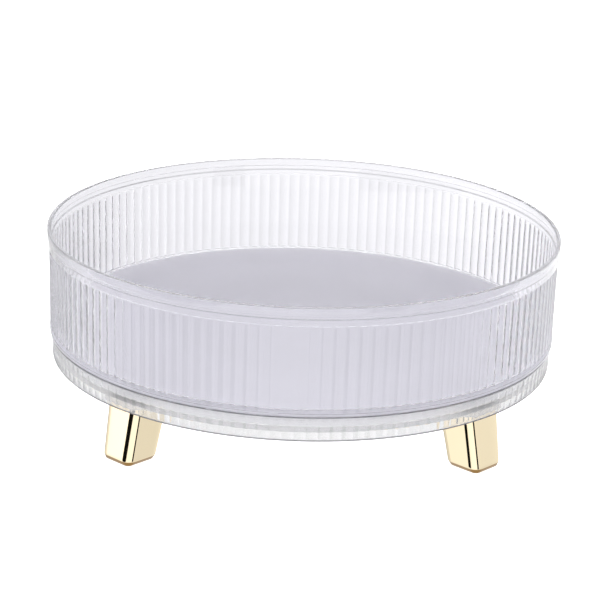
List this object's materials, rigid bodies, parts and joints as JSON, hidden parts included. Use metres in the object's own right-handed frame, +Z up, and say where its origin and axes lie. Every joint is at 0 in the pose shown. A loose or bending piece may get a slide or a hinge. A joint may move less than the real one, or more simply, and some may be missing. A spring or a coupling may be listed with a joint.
{
  "type": "rotating vanity tray",
  "caption": "Round clear fluted vanity tray that turns on a ball race over a fluted base with splayed gold-plated legs.",
  "frame": {"origin": "centre of the footprint, on the surface that the foot pads stand on", "axes": "+Z up along the turning axis, -Y towards the front, legs at 45 degrees to X and Y"},
  "size_m": [0.25, 0.25, 0.0913],
  "materials": {
    "clear_tray": "polished clear plastic with a faint lavender tint",
    "clear_base": "polished clear plastic",
    "gold_plate": "plastic electroplated in pale mirror gold",
    "cage_plastic": "smooth translucent moulding",
    "bearing_steel": "polished bearing balls",
    "screw_steel": "zinc-plated steel",
    "pad_rubber": "soft translucent silicone"
  },
  "bodies": {
    "base": {"base": "clear_base", "leg_front_left": "gold_plate", "leg_front_right": "gold_plate", "leg_back_right": "gold_plate", "leg_back_left": "gold_plate", "foot_pad_front_left": "pad_rubber", "foot_pad_front_right": "pad_rubber", "foot_pad_back_right": "pad_rubber", "foot_pad_back_left": "pad_rubber", "leg_screws": "screw_steel"},
    "tray": {"tray": "clear_tray", "pivot_washer": "screw_steel", "pivot_screw": "screw_steel"},
    "ball_cage": {"ball_cage": "cage_plastic"},
    "ball_1": {"bearing_ball_1": "bearing_steel"},
    "ball_2": {"bearing_ball_2": "bearing_steel"},
    "ball_3": {"bearing_ball_3": "bearing_steel"},
    "ball_4": {"bearing_ball_4": "bearing_steel"},
    "ball_5": {"bearing_ball_5": "bearing_steel"},
    "ball_6": {"bearing_ball_6": "bearing_steel"},
    "ball_7": {"bearing_ball_7": "bearing_steel"},
    "ball_8": {"bearing_ball_8": "bearing_steel"},
    "ball_9": {"bearing_ball_9": "bearing_steel"},
    "ball_10": {"bearing_ball_10": "bearing_steel"},
    "ball_11": {"bearing_ball_11": "bearing_steel"},
    "ball_12": {"bearing_ball_12": "bearing_steel"}
  },
  "joints": [
    {"name": "tray_spin", "type": "hinge", "parent": "base", "child": "tray", "pos_m": [0, 0, 0.0395], "axis": [0, 0, 1], "continuous": true},
    {"name": "cage_orbit", "type": "hinge", "parent": "base", "child": "ball_cage", "pos_m": [0, 0, 0.03565], "axis": [0, 0, 1], "continuous": true},
    {"name": "ball_1_roll", "type": "hinge", "parent": "ball_cage", "child": "ball_1", "pos_m": [0.068, 0, 0.03565], "axis": [1, 0, 0], "continuous": true},
    {"name": "ball_2_roll", "type": "hinge", "parent": "ball_cage", "child": "ball_2", "pos_m": [0.05889, 0.034, 0.03565], "axis": [0.866, 0.5, 0], "continuous": true},
    {"name": "ball_3_roll", "type": "hinge", "parent": "ball_cage", "child": "ball_3", "pos_m": [0.034, 0.05889, 0.03565], "axis": [0.5, 0.866, 0], "continuous": true},
    {"name": "ball_4_roll", "type": "hinge", "parent": "ball_cage", "child": "ball_4", "pos_m": [0, 0.068, 0.03565], "axis": [0, 1, 0], "continuous": true},
    {"name": "ball_5_roll", "type": "hinge", "parent": "ball_cage", "child": "ball_5", "pos_m": [-0.034, 0.05889, 0.03565], "axis": [-0.5, 0.866, 0], "continuous": true},
    {"name": "ball_6_roll", "type": "hinge", "parent": "ball_cage", "child": "ball_6", "pos_m": [-0.05889, 0.034, 0.03565], "axis": [-0.866, 0.5, 0], "continuous": true},
    {"name": "ball_7_roll", "type": "hinge", "parent": "ball_cage", "child": "ball_7", "pos_m": [-0.068, 0, 0.03565], "axis": [-1, 0, 0], "continuous": true},
    {"name": "ball_8_roll", "type": "hinge", "parent": "ball_cage", "child": "ball_8", "pos_m": [-0.05889, -0.034, 0.03565], "axis": [-0.866, -0.5, 0], "continuous": true},
    {"name": "ball_9_roll", "type": "hinge", "parent": "ball_cage", "child": "ball_9", "pos_m": [-0.034, -0.05889, 0.03565], "axis": [-0.5, -0.866, 0], "continuous": true},
    {"name": "ball_10_roll", "type": "hinge", "parent": "ball_cage", "child": "ball_10", "pos_m": [0, -0.068, 0.03565], "axis": [0, -1, 0], "continuous": true},
    {"name": "ball_11_roll", "type": "hinge", "parent": "ball_cage", "child": "ball_11", "pos_m": [0.034, -0.05889, 0.03565], "axis": [0.5, -0.866, 0], "continuous": true},
    {"name": "ball_12_roll", "type": "hinge", "parent": "ball_cage", "child": "ball_12", "pos_m": [0.05889, -0.034, 0.03565], "axis": [0.866, -0.5, 0], "continuous": true}
  ],
  "couplings": [
    {"joint": "cage_orbit", "follows": "tray_spin", "ratio": 0.5},
    {"joint": "ball_1_roll", "follows": "tray_spin", "ratio": -13.6},
    {"joint": "ball_2_roll", "follows": "tray_spin", "ratio": -13.6},
    {"joint": "ball_3_roll", "follows": "tray_spin", "ratio": -13.6},
    {"joint": "ball_4_roll", "follows": "tray_spin", "ratio": -13.6},
    {"joint": "ball_5_roll", "follows": "tray_spin", "ratio": -13.6},
    {"joint": "ball_6_roll", "follows": "tray_spin", "ratio": -13.6},
    {"joint": "ball_7_roll", "follows": "tray_spin", "ratio": -13.6},
    {"joint": "ball_8_roll", "follows": "tray_spin", "ratio": -13.6},
    {"joint": "ball_9_roll", "follows": "tray_spin", "ratio": -13.6},
    {"joint": "ball_10_roll", "follows": "tray_spin", "ratio": -13.6},
    {"joint": "ball_11_roll", "follows": "tray_spin", "ratio": -13.6},
    {"joint": "ball_12_roll", "follows": "tray_spin", "ratio": -13.6}
  ]
}
